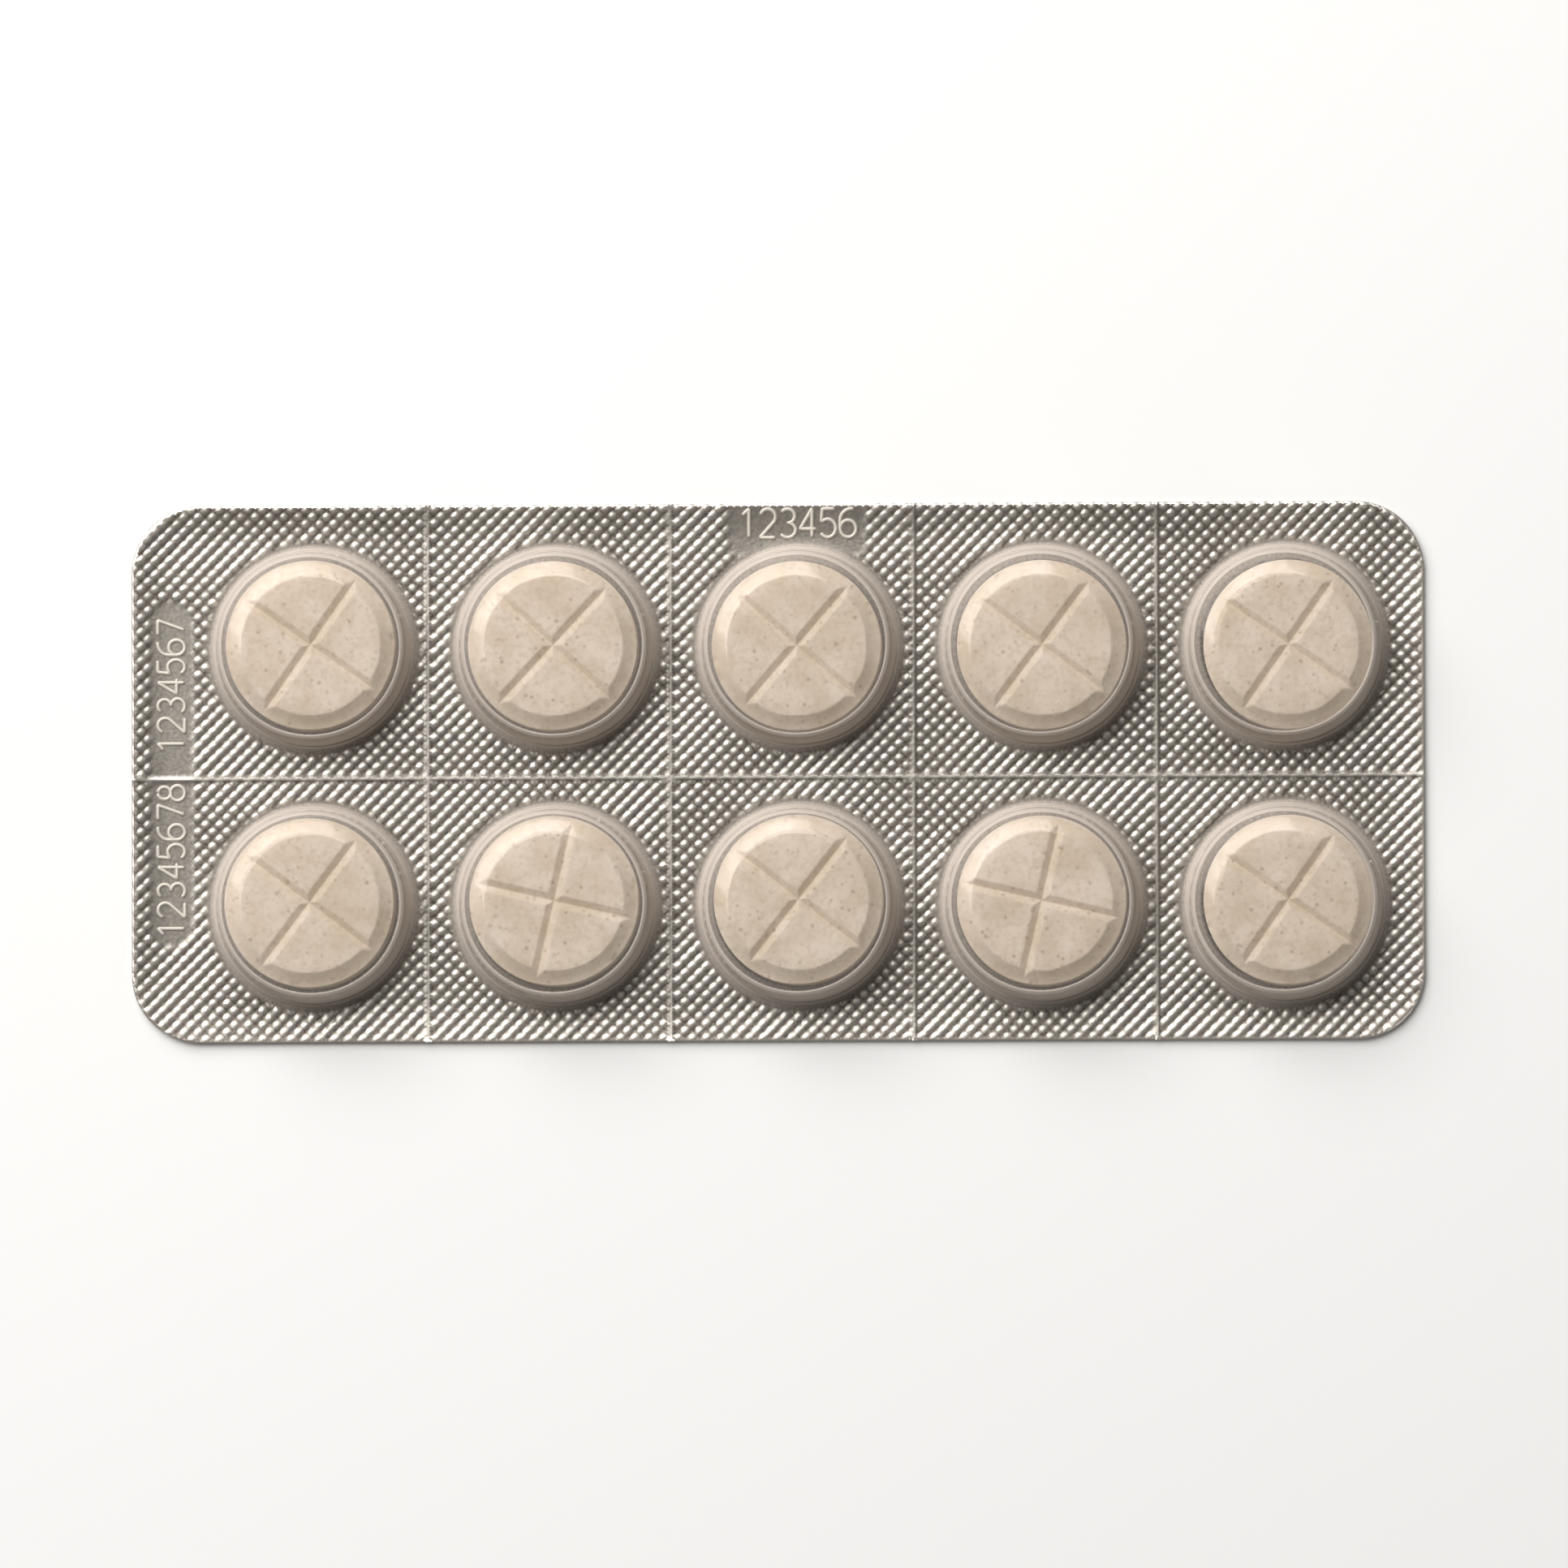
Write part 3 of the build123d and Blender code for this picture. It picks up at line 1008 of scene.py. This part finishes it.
class BlisterSettings(bpy.types.PropertyGroup):
    """Settings of all pieces and of the stage"""

    foil: bpy.props.PointerProperty(name="Foil", description="Lidding foil", type=FoilSettings)
    film: bpy.props.PointerProperty(name="Film", description="Forming film", type=FilmSettings)
    tablet: bpy.props.PointerProperty(name="Tablet", description="Tablets", type=TabletSettings)
    digits: bpy.props.PointerProperty(name="Digits", description="Digits", type=DigitSettings)
    stage: bpy.props.PointerProperty(
        name="Stage", description="Camera and light", type=StageSettings,
    )


class BLISTER_OT_foil(bpy.types.Operator):
    """Make the knurled lidding foil and its embossed digits"""

    bl_idname = "blister.foil"
    bl_label = "Foil"

    def execute(self, context):
        settings = settings_of(context)
        material = rolled_foil(settings.foil)
        sheet = lid_sheet(settings.foil, material)
        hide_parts("lidding_foil")
        digits = foil_digits(settings.foil, settings.digits, frosted_foil(settings.foil))
        for piece in (sheet, digits):
            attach(piece, "root")
        return {"FINISHED"}


class BLISTER_OT_film(bpy.types.Operator):
    """Make the clear film with its drawn pockets"""

    bl_idname = "blister.film"
    bl_label = "Film"

    def execute(self, context):
        settings = settings_of(context)
        piece = blister_sheet(settings.foil, settings.film, clear_film(settings.film))
        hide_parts("forming_film")
        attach(piece, "root")
        return {"FINISHED"}


class BLISTER_OT_tablets(bpy.types.Operator):
    """Make the ten scored tablets"""

    bl_idname = "blister.tablets"
    bl_label = "Tablets"

    def execute(self, context):
        settings = settings_of(context).tablet
        material = pressed_powder(settings)
        for row in range(ROWS):
            for column in range(COLUMNS):
                node = f"tablet_{row + 1}_{column + 1}"
                low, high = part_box(node)
                piece = pill(
                    f"pill_{row + 1}_{column + 1}", np.array((low + high) / 2),
                    SCORE_TURNS[row][column], 10 * row + column, settings, material,
                )
                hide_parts(node)
                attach(piece, "root")
        return {"FINISHED"}


class BLISTER_OT_stage(bpy.types.Operator):
    """Set up floor, lights and camera"""

    bl_idname = "blister.stage"
    bl_label = "Stage"

    def execute(self, context):
        settings = settings_of(context).stage
        scene = context.scene
        scene.view_settings.view_transform = "Standard"
        corners = np.array([(-1, -1, 0), (1, -1, 0), (1, 1, 0), (-1, 1, 0)]) * FLOOR_REACH
        board = put_mesh(
            "floor", corners - (0, 0, FLOOR_DROP), [np.array([[0, 1, 2, 3]])],
            matt_board(settings), flat=(0,),
        )
        world = bpy.data.worlds.new("studio")
        world.use_nodes = True
        sky = world.node_tree.nodes["Background"].inputs
        sky["Color"].default_value = linear("#D9D7D4")
        sky["Strength"].default_value = 0.2
        scene.world = world
        powers = (settings.key_power, settings.fill_power)
        for (name, place, size), power in zip(LIGHTS, powers):
            light = bpy.data.lights.new(name, "AREA")
            light.energy, light.size = power, size
            lamp = bpy.data.objects.new(name, light)
            aim = (-Vector(place)).to_track_quat("-Z", "Y").to_matrix().to_4x4()
            lamp.matrix_world = Matrix.Translation(place) @ aim
            scene.collection.objects.link(lamp)
        lean_x, lean_y = tan(radians(LEAN_X)), tan(radians(LEAN_Y))
        place = TARGET + settings.distance * Vector((lean_x, -lean_y, 1)).normalized()
        back = (place - TARGET).normalized()
        roll = radians(ROLL)
        right = Vector((sin(roll), cos(roll), 0)).cross(back).normalized()
        up = back.cross(right)
        lens = bpy.data.cameras.new("camera")
        lens.sensor_width = SENSOR
        lens.lens = SENSOR * settings.distance / settings.view_width
        lens.clip_end = 10
        camera = bpy.data.objects.new("camera", lens)
        turn = Matrix((right, up, back)).transposed().to_4x4()
        camera.matrix_world = Matrix.Translation(place) @ turn
        scene.collection.objects.link(camera)
        scene.camera = camera
        return {"FINISHED"}


class BLISTER_PT_panel(bpy.types.Panel):
    """Sidebar list of the pack's pieces"""

    bl_label = "Blister pack"
    bl_idname = "BLISTER_PT_panel"
    bl_space_type = "VIEW_3D"
    bl_region_type = "UI"
    bl_category = "Blister"

    def draw(self, context):
        settings = settings_of(context)
        for group, operator in (
            ("foil", "blister.foil"), ("film", "blister.film"), ("tablet", "blister.tablets"),
            ("digits", None), ("stage", "blister.stage"),
        ):
            box = self.layout.box()
            for name in getattr(settings, group).__annotations__:
                box.prop(getattr(settings, group), name)
            if operator:
                box.operator(operator)


CLASSES = (
    FoilSettings, FilmSettings, TabletSettings, DigitSettings, StageSettings, BlisterSettings,
    BLISTER_OT_foil, BLISTER_OT_film, BLISTER_OT_tablets, BLISTER_OT_stage, BLISTER_PT_panel,
)


def register():
    """Register the classes and hang their settings on the scene."""
    for item in CLASSES:
        bpy.utils.register_class(item)
    bpy.types.Scene.blister = bpy.props.PointerProperty(type=BlisterSettings)


def unregister():
    """Take the settings off the scene and unregister the classes."""
    del bpy.types.Scene.blister
    for item in reversed(CLASSES):
        bpy.utils.unregister_class(item)


def main():
    """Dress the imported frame."""
    register()
    bpy.ops.blister.stage()
    bpy.ops.blister.foil()
    bpy.ops.blister.film()
    bpy.ops.blister.tablets()
    bpy.context.view_layer.update()


if __name__ == "__main__":
    main()
